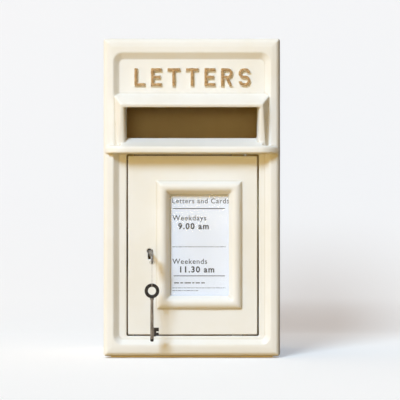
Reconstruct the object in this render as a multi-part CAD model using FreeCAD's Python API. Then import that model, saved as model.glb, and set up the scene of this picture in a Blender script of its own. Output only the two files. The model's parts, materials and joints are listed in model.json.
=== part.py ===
import FreeCAD, Part
import math
import os

# Wall mounted letter box with a cast front, a keyed door and a folded sheet body.
# Millimetres. The wall is the plane y = 0, the box stands out towards -Y, +Z is up and +X is to
# the right of a person in front of it. The origin is the centre of the four wall fixing holes.

V = FreeCAD.Vector
UP = V(0, 0, 1)
OUT = V(0, -1, 0)
RIGHT = V(1, 0, 0)

# Driving dimensions
FRONT_W = 316.0
FRONT_Z = (-283.0, 285.0)   # the casting hangs just clear of what the box stands on
BASE_Z = -285.0             # underside of the sheet body
GROUND_Y = -200.0        # flat front of the casting and of the door
PLATE_BACK_Y = -194.0    # back of the casting's plate
RIM_BACK_Y = -184.0      # back edge of the rim round the casting
CREST_Y = -209.0         # highest line of the border moulding
CREST_R = 13.0           # outer rounding of the border
CROWN_W = 16.0           # the border falls away over this width, towards its outer edge
CROWN_FALL = 2.2
RIM_T = 5.0

FOOT_X = 130.3           # foot of the border's inner bevel at the sides
FOOT_TOP_Z = 248.0
FOOT_BOTTOM_Z = -252.0
BEVEL_W_SIDE = 9.2
BEVEL_W_TOP = 11.0
BEVEL_W_BOTTOM = 9.0
CREST_EDGE_R = 3.0
GROOVE_OUT = 18.0        # the border's hollow back, inside the front's width and height
GROOVE_IN = 44.0
GROOVE_DEPTH = 8.0
BOSS_R = 6.0
FOOT_CORNER_R = 9.0
CREST_CORNER_R = 16.0

SLOT_X = 116.0
SLOT_Z = (106.9, 163.0)
SLOT_CORNER_R = 2.5
HOOD_LIP_X = 126.0       # half width at the lip
CHEEK_DRAFT = 0.41       # the cheeks spread by this much per mm towards the wall
CHEEK_LEAN = 0.045       # and by this much per mm of height
HOOD_TOP_Z = 187.0
HOOD_LIP_Y = -235.0
HOOD_LIP_Z = 166.0
HOOD_LIP_H = 6.5         # from the lip down to the mouth
HOOD_EDGE_R = 2.4
MOUTH_X = 118.5          # half width of the hollow at the lip, before its edge is rounded
MOUTH_R = 5.0
CHEEK_FOOT_Y = -214.0    # front of the cheeks at the shelf
LEDGE_Y = -233.0
LEDGE_Z = (79.2, 92.5)
LEDGE_TOP_R = 6.0
LEDGE_LOW_R = 1.6
LEDGE_FULL_X = 118.0     # the front line is straight out to here
LEDGE_END_X = 156.0

DOOR_X = (-114.1, 117.3)
DOOR_Z = (-244.3, 75.3)
DOOR_GAP = 2.2
DOOR_BACK_Y = -194.3
HINGE_X = 95.3
HINGE_Y = -192.0
PIN_R = 3.0
PIN_CLEAR = 0.05
PIN_UP_REACH = 20.0      # of the upper pin into the door
PIN_LOW_REACH = 30.0
PIN_HANDLE_L = 22.0
LUG_R = 7.5
LUG_H = 17.5
DOOR_LUG_H = 36.0
STOP_T = 2.5             # strips that the closed door rests on

NOTICE_X = 13.3
NOTICE_Z = -84.2
NOTICE_W = 105.0         # clear window
NOTICE_H = 181.0
NOTICE_BORDER = 23.0
NOTICE_CREST_Y = -210.0
NOTICE_R = 10.0          # outer rounding of its frame
NOTICE_RIM_R = 9.0       # inner rounding
NOTICE_BEVEL = 8.0
PANE_LAP = 6.0
PANE_T = 2.0
CARD_T = 0.4
BACKING_T = 1.2
PAD_R = 3.1              # pads on the door that the backing is screwed to

LETTER_H = 33.0
LETTER_STROKE = 6.4      # at the foot; the top is narrower by the two chamfers
LETTER_CHAMFER = 1.6
LETTER_PROUD = 4.5
LETTER_Z = 199.0
LETTERS_X = (-103.0, 105.0)
LETTER_WIDTHS = {"L": 20.0, "E": 20.0, "T": 23.5, "R": 22.0, "S": 22.0}
HEADER_WORD = "LETTERS"

SHELL_X = 145.0
SHELL_TOP_Z = 270.0
SHEET_T = 1.5
FRONT_FLANGE = 13.0
REAR_FLANGE = 12.0
WALL_HOLE_R = 4.0
WALL_HOLE_DX = 100.0
WALL_HOLE_DZ = 200.0
DRAIN_R = 3.0
DRAIN_X = (-90, 90)
DRAIN_Y = (-45, -145)
RIVET_R = 1.6
RIVET_HEAD_R = 3.0
RIVET_HEAD_H = 1.3

KEY_L = 102.0
KEY_RING_R = 10.0        # middle of the bow's ring
KEY_RING_MINOR = 3.0
BOW_HALF_T = 1.5         # the bow is forged flat
KEY_BIT_REACH = 12.1
KEY_BIT_T = 2.8
KEY_ENTRY = V(-75.4, GROUND_Y, -95.6)
KEY_LEAN = V(5.7, -47.0, -7.5)      # the loose key droops: from the door to the bow's centre
KEYHOLE = V(-75.8, GROUND_Y, -95.0)
KEYHOLE_R = 4.0
KEYHOLE_SLOT_W = 4.4
KEYHOLE_BOTTOM_Z = -109.8
KEY_TIE_R = 0.55
TIE_DROP = 40.2          # ring centre line of one bow to that of the other

CASE_X = (-110.0, -55.0)
CASE_Z = (-124.0, -62.0)
CASE_BACK_Y = -162.0
CASE_T = 2.0
CAP_T = 1.5
BOLT_Y = (-179.0, -173.0)
BOLT_HEAD_X = -111.8
BOLT_HEAD_Z = (-102.0, -82.0)
BOLT_TAIL_X = (-97.0, -60.0)
BOLT_TAIL_Z = (-112.0, -80.0)
BOLT_THROW = 10.0
BOLT_CLEAR = 0.2
SPRING_X = -78.0
SPRING_TOP_Z = -75.0
SPRING_HALF_L = 15.0
SPRING_T = 0.5

KEEP_X = -121.0
KEEP_T = 2.5
KEEP_Z = (-122.0, -62.0)

M4_R = 2.0
M3_R = 1.5
SCREW_CLEAR = 0.15       # radial clearance of a screw in its hole


# ---- helpers -------------------------------------------------------------------------------

def box(x, y, z):
    """Box between two limits on each axis."""
    corner = V(min(x), min(y), min(z))
    return Part.makeBox(abs(x[1] - x[0]), abs(y[1] - y[0]), abs(z[1] - z[0]), corner)


def rod(r, start, end):
    """Round bar from one point to another."""
    return Part.makeCylinder(r, (end - start).Length, start, end - start)


def rounded_wire(cx, cz, w, h, r, y):
    """Rounded rectangle in the plane at y."""
    x0, x1 = cx - w / 2, cx + w / 2
    z0, z1 = cz - h / 2, cz + h / 2
    k = r * (1 - math.sqrt(0.5))
    edges = [
        Part.LineSegment(V(x0 + r, y, z0), V(x1 - r, y, z0)).toShape(),
        Part.Arc(V(x1 - r, y, z0), V(x1 - k, y, z0 + k), V(x1, y, z0 + r)).toShape(),
        Part.LineSegment(V(x1, y, z0 + r), V(x1, y, z1 - r)).toShape(),
        Part.Arc(V(x1, y, z1 - r), V(x1 - k, y, z1 - k), V(x1 - r, y, z1)).toShape(),
        Part.LineSegment(V(x1 - r, y, z1), V(x0 + r, y, z1)).toShape(),
        Part.Arc(V(x0 + r, y, z1), V(x0 + k, y, z1 - k), V(x0, y, z1 - r)).toShape(),
        Part.LineSegment(V(x0, y, z1 - r), V(x0, y, z0 + r)).toShape(),
        Part.Arc(V(x0, y, z0 + r), V(x0 + k, y, z0 + k), V(x0 + r, y, z0)).toShape(),
    ]
    return Part.Wire(edges)


def rounded_plate(cx, cz, w, h, r, y):
    """Rounded rectangular plate between two y limits."""
    face = Part.Face(rounded_wire(cx, cz, w, h, r, min(y)))
    return face.extrude(V(0, abs(y[1] - y[0]), 0))


def polygon_prism(points, direction):
    """Prism on a flat polygon."""
    return Part.Face(Part.makePolygon(points + [points[0]])).extrude(direction)


def edges_on(shape, axis, value):
    """Edges that lie in the plane axis = value."""
    found = []
    for edge in shape.Edges:
        low = getattr(edge.BoundBox, axis + "Min")
        high = getattr(edge.BoundBox, axis + "Max")
        if abs(low - value) < 0.01 and abs(high - value) < 0.01:
            found.append(edge)
    return found


def fused(solids):
    """One solid from overlapping ones."""
    result = solids[0].fuse(solids[1:])
    return result.removeSplitter()


def cut_all(shape, cutters):
    """A shape with all the cutters taken out of it."""
    return shape.cut(cutters[0].fuse(cutters[1:]))


def rods_at(places, r, y0, y1):
    """Round bars along Y, one at each (x, z)."""
    return [rod(r, V(x, y0, z), V(x, y1, z)) for x, z in places]


def screw(at, direction, r, length, head_r, head_h):
    """Slotted pan head screw: at is under the head, direction is where the thread points."""
    shank = rod(r, at, at + direction * length)
    top = at - direction * head_h
    head = rod(head_r, top, at)
    crown = [e for e in head.Edges if (e.CenterOfMass - top).Length < 0.01]
    head = head.makeFillet(head_h * 0.45, crown)
    across = direction.cross(UP if abs(direction.z) < 0.5 else RIGHT)
    slot = Part.makeBox(2 * head_r + 1, head_r * 0.24, head_h * 0.8)
    slot.translate(V(-head_r - 0.5, -head_r * 0.12, -head_h * 0.4))
    turned = FreeCAD.Rotation(across, V(), direction, "ZXY")
    slot.Placement = FreeCAD.Placement(top, turned) * slot.Placement
    return shank.fuse(head.cut(slot)).removeSplitter()


def screws_out(places, under_head_y, r, length, head_r, head_h):
    """Screws that point out of the front, one at each (x, z)."""
    made = [screw(V(x, under_head_y, z), OUT, r, length, head_r, head_h) for x, z in places]
    return Part.makeCompound(made)


# ---- cast front ----------------------------------------------------------------------------

def border_block():
    """Block whose front falls away towards a rounded outer edge."""
    half_x = FRONT_W / 2
    half_z = (FRONT_Z[1] - FRONT_Z[0]) / 2
    middle = V(0, 0, sum(FRONT_Z) / 2)
    block = box((-half_x, half_x), (RIM_BACK_Y, CREST_Y), FRONT_Z)
    block = block.makeFillet(CREST_R, edges_on(block, "Y", CREST_Y))
    outline = rounded_plate(0, middle.z, FRONT_W, 2 * half_z, 6.0, (RIM_BACK_Y, CREST_Y))
    wedges = []
    for half, across, along, length in ((half_x, RIGHT, UP, half_z), (half_z, UP, RIGHT, half_x)):
        for side in (-1, 1):
            start = middle + across * side * (half - CROWN_W) - along * (length + 1)
            slope = across * side * CROWN_W - OUT * CROWN_FALL
            inner = start - OUT * CREST_Y
            outer = inner + slope * 1.1
            points = [inner, outer, outer + OUT * 8, inner + OUT * 8]
            wedges.append(polygon_prism(points, along * 2 * (length + 1)))
    return cut_all(block.common(outline), wedges)


def border_pocket():
    """The sunken ground inside the border, with bevelled sides."""
    foot_cz = (FOOT_TOP_Z + FOOT_BOTTOM_Z) / 2
    foot_h = FOOT_TOP_Z - FOOT_BOTTOM_Z
    crest_w = 2 * (FOOT_X + BEVEL_W_SIDE)
    crest_h = foot_h + BEVEL_W_TOP + BEVEL_W_BOTTOM
    crest_cz = foot_cz + (BEVEL_W_TOP - BEVEL_W_BOTTOM) / 2
    foot = rounded_wire(0, foot_cz, 2 * FOOT_X, foot_h, FOOT_CORNER_R, GROUND_Y)
    crest = rounded_wire(0, crest_cz, crest_w, crest_h, CREST_CORNER_R, CREST_Y)
    mouth = rounded_plate(0, crest_cz, crest_w, crest_h, CREST_CORNER_R, (CREST_Y - 1.0, CREST_Y))
    return Part.makeLoft([foot, crest], True, True).fuse(mouth)


def hood_half_width(y, z):
    """Half width of the hood: its cheeks spread towards the wall and towards the top."""
    return HOOD_LIP_X + CHEEK_DRAFT * (y - HOOD_LIP_Y) + CHEEK_LEAN * (z - HOOD_LIP_Z)


def tapered_block(low, high):
    """Solid between two polygons whose matching sides are parallel."""
    faces = [Part.Face(Part.makePolygon(points + [points[0]])) for points in (low, high)]
    for k in range(len(low)):
        j = (k + 1) % len(low)
        faces.append(Part.Face(Part.makePolygon([low[k], low[j], high[j], high[k], low[k]])))
    return Part.makeSolid(Part.makeShell(faces))


def mouth_rounding(side, top, run):
    """What rounds a cheek's inner front edge: the edge starts at top and goes along run."""
    turn = V(side * MOUTH_R, 0, 0)
    deep = V(0, MOUTH_R, 0)
    middle = top + (turn + deep) * (1 - math.sqrt(0.5))
    edges = [
        Part.Arc(top + deep, middle, top + turn).toShape(),
        Part.LineSegment(top + turn, top + turn - deep).toShape(),
        Part.LineSegment(top + turn - deep, top - turn - deep).toShape(),
        Part.LineSegment(top - turn - deep, top - turn + deep).toShape(),
        Part.LineSegment(top - turn + deep, top + deep).toShape(),
    ]
    return Part.Face(Part.Wire(edges)).extrude(run)


def hood():
    """Canopy with triangular cheeks over the slot, hollow and open to the front."""
    inside_y = GROUND_Y + 3.0
    foot_z = LEDGE_Z[1] - 4.0
    lip_low = HOOD_LIP_Z - HOOD_LIP_H
    top_z = HOOD_TOP_Z + 1.7
    slant = (CHEEK_FOOT_Y - HOOD_LIP_Y) / (HOOD_LIP_Z - foot_z)
    wide = hood_half_width(inside_y, top_z) + 1.0
    profile = [
        V(-wide, inside_y, top_z),
        V(-wide, HOOD_LIP_Y, HOOD_LIP_Z),
        V(-wide, CHEEK_FOOT_Y, foot_z),
        V(-wide, inside_y, foot_z),
    ]
    plans = []
    for z in (foot_z, top_z):
        back = hood_half_width(inside_y, z)
        lip = hood_half_width(HOOD_LIP_Y, z)
        plans.append([V(-back, inside_y, z), V(back, inside_y, z),
                      V(lip, HOOD_LIP_Y, z), V(-lip, HOOD_LIP_Y, z)])
    body = polygon_prism(profile, RIGHT * 2 * wide).common(tapered_block(*plans))
    rounded = [e for e in body.Edges if e.BoundBox.YMin < inside_y - 1.0 and e.BoundBox.ZMax > LEDGE_Z[1]]
    body = body.makeFillet(HOOD_EDGE_R, rounded)
    low = LEDGE_Z[1] - 3.0
    hollow = tapered_block(
        [V(-SLOT_X, GROUND_Y + 7.0, low), V(SLOT_X, GROUND_Y + 7.0, low),
         V(SLOT_X, GROUND_Y + 7.0, SLOT_Z[1]), V(-SLOT_X, GROUND_Y + 7.0, SLOT_Z[1])],
        [V(-MOUTH_X, HOOD_LIP_Y, low), V(MOUTH_X, HOOD_LIP_Y, low),
         V(MOUTH_X, HOOD_LIP_Y, lip_low), V(-MOUTH_X, HOOD_LIP_Y, lip_low)])
    corner_y = HOOD_LIP_Y + slant * HOOD_LIP_H
    run = V(0, CHEEK_FOOT_Y - corner_y, foot_z - lip_low)
    roundings = [mouth_rounding(side, V(side * MOUTH_X, corner_y, lip_low), run) for side in (-1, 1)]
    return cut_all(body, [hollow] + roundings)


def ledge():
    """Full width shelf with a round nose; its ends sweep back to the border."""
    z0, z1 = LEDGE_Z
    y_end = GROUND_Y + 1.0
    across = LEDGE_END_X - LEDGE_FULL_X
    back = y_end - LEDGE_Y
    radius = (across ** 2 + back ** 2) / (2 * back)
    half_turn = math.atan2(across, radius - back) / 2
    bulge_x = LEDGE_FULL_X + radius * math.sin(half_turn)
    bulge = V(bulge_x, LEDGE_Y + radius * (1 - math.cos(half_turn)), z0)
    left_bulge = V(-bulge.x, bulge.y, z0)
    edges = [
        Part.LineSegment(V(-LEDGE_FULL_X, LEDGE_Y, z0), V(LEDGE_FULL_X, LEDGE_Y, z0)).toShape(),
        Part.Arc(V(LEDGE_FULL_X, LEDGE_Y, z0), bulge, V(LEDGE_END_X, y_end, z0)).toShape(),
        Part.LineSegment(V(LEDGE_END_X, y_end, z0), V(-LEDGE_END_X, y_end, z0)).toShape(),
        Part.Arc(V(-LEDGE_END_X, y_end, z0), left_bulge, V(-LEDGE_FULL_X, LEDGE_Y, z0)).toShape(),
    ]
    slab = Part.Face(Part.Wire(edges)).extrude(V(0, 0, z1 - z0))
    for z, r in ((z1, LEDGE_TOP_R), (z0, LEDGE_LOW_R)):
        slab = slab.makeFillet(r, [e for e in edges_on(slab, "Z", z) if e.BoundBox.YMin < y_end - 1])
    sill = polygon_prism([
        V(-HOOD_LIP_X, LEDGE_Y + 5.5, z1 - 1.5),
        V(-HOOD_LIP_X, LEDGE_Y + 5.5, z1 - 0.2),
        V(-HOOD_LIP_X, GROUND_Y, SLOT_Z[0]),
        V(-HOOD_LIP_X, GROUND_Y + 3.0, SLOT_Z[0]),
        V(-HOOD_LIP_X, GROUND_Y + 3.0, z1 - 1.5),
    ], RIGHT * 2 * HOOD_LIP_X)
    return slab.fuse(sill)


def frame_screw_places():
    """Where the shell's front flange is screwed to the casting."""
    side_x = SHELL_X - FRONT_FLANGE / 2
    sides = [(s * side_x, z) for s in (-1, 1) for z in (-235.0, -105.0, 25.0, 155.0)]
    ends = [(s * 72.0, z) for s in (-1, 1) for z in (SHELL_TOP_Z - 6.5, BASE_Z + 7.0)]
    return sides + ends


def hinge_lug(z0, z1, back_y):
    """Round lug on the back of a plate, with its axis on the hinge line."""
    barrel = rod(LUG_R, V(HINGE_X, HINGE_Y, z0), V(HINGE_X, HINGE_Y, z1))
    neck = box((HINGE_X - LUG_R, HINGE_X + LUG_R), (back_y - 3.0, HINGE_Y), (z0, z1))
    return barrel.fuse(neck)


def front_frame():
    """The whole cast front: border, ground, header, hood, shelf, rim and hinge lugs."""
    block = border_block().cut(border_pocket())
    crest_line = [e for e in edges_on(block, "Y", CREST_Y)
                  if abs(e.CenterOfMass.x) < FOOT_X + BEVEL_W_SIDE + 0.4
                  and e.CenterOfMass.z > FOOT_BOTTOM_Z - BEVEL_W_BOTTOM - 1.0
                  and e.CenterOfMass.z < FOOT_TOP_Z + BEVEL_W_TOP + 0.5]
    block = block.makeFillet(CREST_EDGE_R, crest_line)
    half_x = FRONT_W / 2 - RIM_T
    cavity_z = (FRONT_Z[0] - 1, FRONT_Z[1] - RIM_T)
    cavity = box((-half_x, half_x), (PLATE_BACK_Y, RIM_BACK_Y + 1), cavity_z)
    groove_y = (PLATE_BACK_Y + 1, PLATE_BACK_Y - GROOVE_DEPTH)
    island_y = (PLATE_BACK_Y + 2, PLATE_BACK_Y - GROOVE_DEPTH - 1)
    middle = sum(FRONT_Z) / 2
    height = FRONT_Z[1] - FRONT_Z[0]
    groove = rounded_plate(0, middle, FRONT_W - GROOVE_OUT, height - GROOVE_OUT, 4.0, groove_y)
    island = rounded_plate(0, middle, FRONT_W - GROOVE_IN, height - GROOVE_IN, 4.0, island_y)
    bosses = rods_at(frame_screw_places(), BOSS_R, island_y[1], island_y[0])
    block = block.cut(cavity).cut(cut_all(groove.cut(island), bosses))
    casting = block.fuse([hood(), ledge()])
    lug_top = DOOR_Z[1] + DOOR_GAP + LUG_H
    lug_bottom = DOOR_Z[0] - DOOR_GAP - LUG_H
    lugs = [hinge_lug(lug_top - LUG_H, lug_top, PLATE_BACK_Y),
            hinge_lug(lug_bottom, lug_bottom + LUG_H, PLATE_BACK_Y)]
    casting = casting.fuse(lugs)
    slot = rounded_plate(0, sum(SLOT_Z) / 2, 2 * SLOT_X, SLOT_Z[1] - SLOT_Z[0], SLOT_CORNER_R,
                         (GROUND_Y - 0.5, PLATE_BACK_Y + 1))
    door_w = DOOR_X[1] - DOOR_X[0] + 2 * DOOR_GAP
    door_h = DOOR_Z[1] - DOOR_Z[0] + 2 * DOOR_GAP
    doorway = rounded_plate(sum(DOOR_X) / 2, sum(DOOR_Z) / 2, door_w, door_h, 1.5,
                            (GROUND_Y - 1, PLATE_BACK_Y + 0.5))
    casting = casting.cut(slot).cut(doorway)
    pin_bore = rod(PIN_R, V(HINGE_X, HINGE_Y, lug_bottom - 1), V(HINGE_X, HINGE_Y, lug_top + 1))
    taps = rods_at(frame_screw_places(), M4_R, PLATE_BACK_Y + 1, PLATE_BACK_Y - 7.0)
    taps += rods_at(stop_screw_places(), M3_R, PLATE_BACK_Y + 1, PLATE_BACK_Y - 4.5)
    taps += rods_at(keep_screw_places(), M4_R, PLATE_BACK_Y + 1, PLATE_BACK_Y - 4.5)
    casting = cut_all(casting, [pin_bore] + taps)
    return casting.removeSplitter()


# ---- raised letters ------------------------------------------------------------------------

def bar(x0, x1, z0, z1):
    """Straight stroke of a letter at the origin."""
    return box((x0, x1), (0, -LETTER_PROUD), (z0, z1))


def bend(cx, cz, x_side, z_side=0):
    """Half ring stroke, or a quarter ring if z_side is given."""
    mean = (LETTER_H - LETTER_STROKE) / 4
    outer = rod(mean + LETTER_STROKE / 2, V(cx, 0, cz), V(cx, -LETTER_PROUD, cz))
    inner = rod(mean - LETTER_STROKE / 2, V(cx, 1, cz), V(cx, -LETTER_PROUD - 1, cz))
    keep = box((cx, cx + x_side * 20), (1, -LETTER_PROUD - 1), (cz - 20, cz + 20))
    ring = outer.cut(inner).common(keep)
    if z_side:
        ring = ring.common(box((cx - 20, cx + 20), (1, -LETTER_PROUD - 1), (cz, cz + z_side * 20)))
    return ring


def letter(name):
    """One letter with its lower left corner at the origin."""
    w = LETTER_WIDTHS[name]
    h, s = LETTER_H, LETTER_STROKE
    quarter = (h - s) / 4
    if name == "L":
        strokes = [bar(0, s, 0, h), bar(0, w, 0, s)]
    elif name == "E":
        middle_bar = bar(0, w - 2, (h - s) / 2, (h + s) / 2)
        strokes = [bar(0, s, 0, h), bar(0, w, 0, s), bar(0, w, h - s, h), middle_bar]
    elif name == "T":
        strokes = [bar((w - s) / 2, (w + s) / 2, 0, h), bar(0, w, h - s, h)]
    elif name == "R":
        cx = w - quarter - s / 2
        middle = h - 2 * quarter - s
        slope = [V(cx - 4, 0, middle + 1), V(cx + 3, 0, middle + 1), V(w, 0, 0), V(w - 7, 0, 0)]
        leg = polygon_prism(slope, OUT * LETTER_PROUD)
        strokes = [bar(0, s, 0, h), bar(0, cx, h - s, h), bar(0, cx, middle, middle + s),
                   bend(cx, h - s / 2 - quarter, 1), leg]
    else:
        left = quarter + s / 2
        right = w - left
        high, low = h - left, left
        bends = [bend(left, high, -1), bend(right, high, 1, 1),
                 bend(right, low, 1), bend(left, low, -1, -1)]
        strokes = bends + [bar(left, right, z0, z0 + s) for z0 in (0, (h - s) / 2, h - s)]
    solid = fused(strokes)
    return solid.makeChamfer(LETTER_CHAMFER, edges_on(solid, "Y", -LETTER_PROUD))


def header_letters():
    """The word on the header, letters evenly spaced, each one a separate raised solid."""
    total = sum(LETTER_WIDTHS[c] for c in HEADER_WORD)
    space = (LETTERS_X[1] - LETTERS_X[0] - total) / (len(HEADER_WORD) - 1)
    x = LETTERS_X[0]
    solids = []
    for c in HEADER_WORD:
        solids.append(letter(c).translated(V(x, GROUND_Y, LETTER_Z)))
        x += LETTER_WIDTHS[c] + space
    return Part.makeCompound(solids)


# ---- sheet body ----------------------------------------------------------------------------

def flange(inset, y):
    """Flat ring inside the shell's outline."""
    z = (BASE_Z, SHELL_TOP_Z)
    outer = box((-SHELL_X, SHELL_X), y, z)
    inner_y = (min(y) - 1, max(y) + 1)
    return outer.cut(box((-SHELL_X + inset, SHELL_X - inset), inner_y, (z[0] + inset, z[1] - inset)))


def rivet_places():
    """Where the back panel is riveted to the shell's rear flange."""
    x = SHELL_X - REAR_FLANGE / 2
    z_mid = (SHELL_TOP_Z + BASE_Z) / 2
    half = (SHELL_TOP_Z - BASE_Z) / 2 - REAR_FLANGE / 2
    sides = [(s * x, z_mid + k * 125.0) for s in (-1, 1) for k in (-2, -1, 0, 1, 2)]
    ends = [(s * 70.0, z_mid + e * half) for s in (-1, 1) for e in (-1, 1)]
    return sides + ends


def body_shell():
    """Folded wrap: two sides, top and floor, flanged inwards at the front and the rear."""
    depth = (PLATE_BACK_Y, -SHEET_T)
    wrap = flange(SHEET_T, depth)
    front = flange(FRONT_FLANGE, (PLATE_BACK_Y, PLATE_BACK_Y + SHEET_T))
    rear = flange(REAR_FLANGE, (-2 * SHEET_T, -SHEET_T))
    shell = fused([wrap, front, rear])
    holes = rods_at(frame_screw_places(), M4_R + SCREW_CLEAR, PLATE_BACK_Y - 1, PLATE_BACK_Y + 3)
    holes += rods_at(rivet_places(), RIVET_R, -2 * SHEET_T - 1, 0)
    holes += [rod(DRAIN_R, V(x, y, BASE_Z - 1), V(x, y, BASE_Z + 3)) for x in DRAIN_X for y in DRAIN_Y]
    return cut_all(shell, holes)


def back_panel():
    """Flat sheet with the four wall fixing holes."""
    sheet = box((-SHELL_X, SHELL_X), (-SHEET_T, 0), (BASE_Z, SHELL_TOP_Z))
    corners = [(sx * WALL_HOLE_DX, sz * WALL_HOLE_DZ) for sx in (-1, 1) for sz in (-1, 1)]
    holes = rods_at(rivet_places(), RIVET_R, -4, 1)
    holes += rods_at(corners, WALL_HOLE_R, -4, 1)
    return cut_all(sheet, holes)


def back_rivets():
    """Rivets with domed heads inside and flush tails at the wall side."""
    solids = []
    under_head = -2 * SHEET_T
    crown_y = under_head - RIVET_HEAD_H
    for x, z in rivet_places():
        head = rod(RIVET_HEAD_R, V(x, crown_y, z), V(x, under_head, z))
        head = head.makeFillet(1.0, edges_on(head, "Y", crown_y))
        solids.append(fused([head, rod(RIVET_R, V(x, under_head, z), V(x, 0, z))]))
    return Part.makeCompound(solids)


def frame_screws():
    """Screws through the front flange into the casting's bosses."""
    return screws_out(frame_screw_places(), PLATE_BACK_Y + SHEET_T, M4_R, 7.5, 4.0, 2.6)


# ---- door ----------------------------------------------------------------------------------

def notice_screw_places():
    """Corners of the backing plate, outside the pane."""
    dx = NOTICE_W / 2 + PANE_LAP + 3.7
    dz = NOTICE_H / 2 + PANE_LAP + 3.3
    return [(NOTICE_X + sx * dx, NOTICE_Z + sz * dz) for sx in (-1, 1) for sz in (-1, 1)]


def lock_screw_places():
    """Corners of the lock case."""
    inset = 5.0
    xs = (CASE_X[0] + inset, CASE_X[1] - inset)
    zs = (CASE_Z[0] + inset, CASE_Z[1] - inset)
    return [(x, z) for x in xs for z in zs]


def keyhole(r, slot_w, y):
    """Round hole with the slot below it that the bit passes through."""
    hole = rod(r, V(KEYHOLE.x, min(y), KEYHOLE.z), V(KEYHOLE.x, max(y), KEYHOLE.z))
    x = (KEYHOLE.x - slot_w / 2, KEYHOLE.x + slot_w / 2)
    return hole.fuse(box(x, y, (KEYHOLE_BOTTOM_Z, KEYHOLE.z)))


def door_panel():
    """Cast door with the raised notice frame, hinge lugs and screw bosses."""
    width = DOOR_X[1] - DOOR_X[0]
    height = DOOR_Z[1] - DOOR_Z[0]
    plate = rounded_plate(sum(DOOR_X) / 2, sum(DOOR_Z) / 2, width, height, 1.0, (GROUND_Y, DOOR_BACK_Y))
    plate = plate.makeFillet(0.7, edges_on(plate, "Y", GROUND_Y))
    outer_w = NOTICE_W + 2 * NOTICE_BORDER
    outer_h = NOTICE_H + 2 * NOTICE_BORDER
    x = (NOTICE_X - outer_w / 2, NOTICE_X + outer_w / 2)
    z = (NOTICE_Z - outer_h / 2, NOTICE_Z + outer_h / 2)
    frame = box(x, (GROUND_Y + 2, NOTICE_CREST_Y), z)
    frame = frame.makeFillet(NOTICE_R, edges_on(frame, "Y", NOTICE_CREST_Y))
    bevel = 2 * NOTICE_BEVEL
    inner = rounded_wire(NOTICE_X, NOTICE_Z, NOTICE_W, NOTICE_H, 1.2, GROUND_Y + 1.5)
    crest = rounded_wire(NOTICE_X, NOTICE_Z, NOTICE_W + bevel, NOTICE_H + bevel, 2.5, NOTICE_CREST_Y - 0.5)
    door = plate.fuse(frame)
    door = door.fuse([hinge_lug(DOOR_Z[1] - DOOR_LUG_H, DOOR_Z[1], DOOR_BACK_Y),
                      hinge_lug(DOOR_Z[0], DOOR_Z[0] + DOOR_LUG_H, DOOR_BACK_Y)])
    pads = rods_at(notice_screw_places(), PAD_R, DOOR_BACK_Y - 1, DOOR_BACK_Y + PANE_T + CARD_T)
    door = door.fuse(pads)
    door = door.cut(Part.makeLoft([inner, crest], True, True))
    window = rounded_plate(NOTICE_X, NOTICE_Z, NOTICE_W, NOTICE_H, 1.2, (GROUND_Y - 1, DOOR_BACK_Y + 1))
    door = door.cut(window)
    rim = [e for e in door.Edges if abs(e.BoundBox.YMin - NOTICE_CREST_Y) < 0.01
           and abs(e.BoundBox.YMax - NOTICE_CREST_Y) < 0.01
           and abs(e.CenterOfMass.x - NOTICE_X) < (NOTICE_W + bevel) / 2 + 0.1
           and abs(e.CenterOfMass.z - NOTICE_Z) < (NOTICE_H + bevel) / 2 + 0.1]
    door = door.makeFillet(NOTICE_RIM_R, rim)
    bores = [(DOOR_Z[1] - PIN_UP_REACH - 2, DOOR_Z[1] + 1), (DOOR_Z[0] - 1, DOOR_Z[0] + PIN_LOW_REACH + 2)]
    cuts = [rod(PIN_R + PIN_CLEAR, V(HINGE_X, HINGE_Y, z0), V(HINGE_X, HINGE_Y, z1)) for z0, z1 in bores]
    cuts.append(keyhole(KEYHOLE_R, KEYHOLE_SLOT_W, (GROUND_Y - 1, DOOR_BACK_Y + 1)))
    cuts += rods_at(notice_screw_places(), M3_R, DOOR_BACK_Y + 3, DOOR_BACK_Y - 3.5)
    cuts += rods_at(lock_screw_places(), M4_R, DOOR_BACK_Y + 1, DOOR_BACK_Y - 4.0)
    return cut_all(door, cuts)


def upper_hinge_pin():
    """Rod that drops through the upper lug into the door, with a bent handle."""
    elbow_z = DOOR_Z[1] + DOOR_GAP + LUG_H + PIN_R + 0.05
    elbow = V(HINGE_X, HINGE_Y, elbow_z)
    upright = rod(PIN_R, V(HINGE_X, HINGE_Y, DOOR_Z[1] - PIN_UP_REACH), elbow)
    handle = rod(PIN_R, elbow, elbow - OUT * PIN_HANDLE_L)
    return fused([upright, handle, Part.makeSphere(PIN_R, elbow)])


def lower_hinge_pin():
    """Stub fixed in the lower lug."""
    low = DOOR_Z[0] - DOOR_GAP - LUG_H
    top = DOOR_Z[0] + PIN_LOW_REACH
    pin = rod(PIN_R, V(HINGE_X, HINGE_Y, low), V(HINGE_X, HINGE_Y, top))
    return pin.makeChamfer(0.8, edges_on(pin, "Z", top))


def thrust_washer():
    """Washer that carries the door on the lower lug."""
    low = V(HINGE_X, HINGE_Y, DOOR_Z[0] - DOOR_GAP)
    washer = rod(6.0, low, low + V(0, 0, DOOR_GAP - 0.1))
    return washer.cut(rod(PIN_R + PIN_CLEAR, low - UP, low + UP * 4))


def stop_strips():
    """Limits in x and z of the strips that the closed door rests on."""
    side_x = (DOOR_X[0] - 8.7, DOOR_X[0] + 4.8)
    end_x = (-104.0, 72.0)
    return [
        (side_x, (-238.0, -128.0)),
        (side_x, (-56.0, 68.0)),
        (end_x, (DOOR_Z[1] - 4.3, DOOR_Z[1] + 10.7)),
        (end_x, (DOOR_Z[0] - 11.7, DOOR_Z[0] + 4.3)),
    ]


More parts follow.
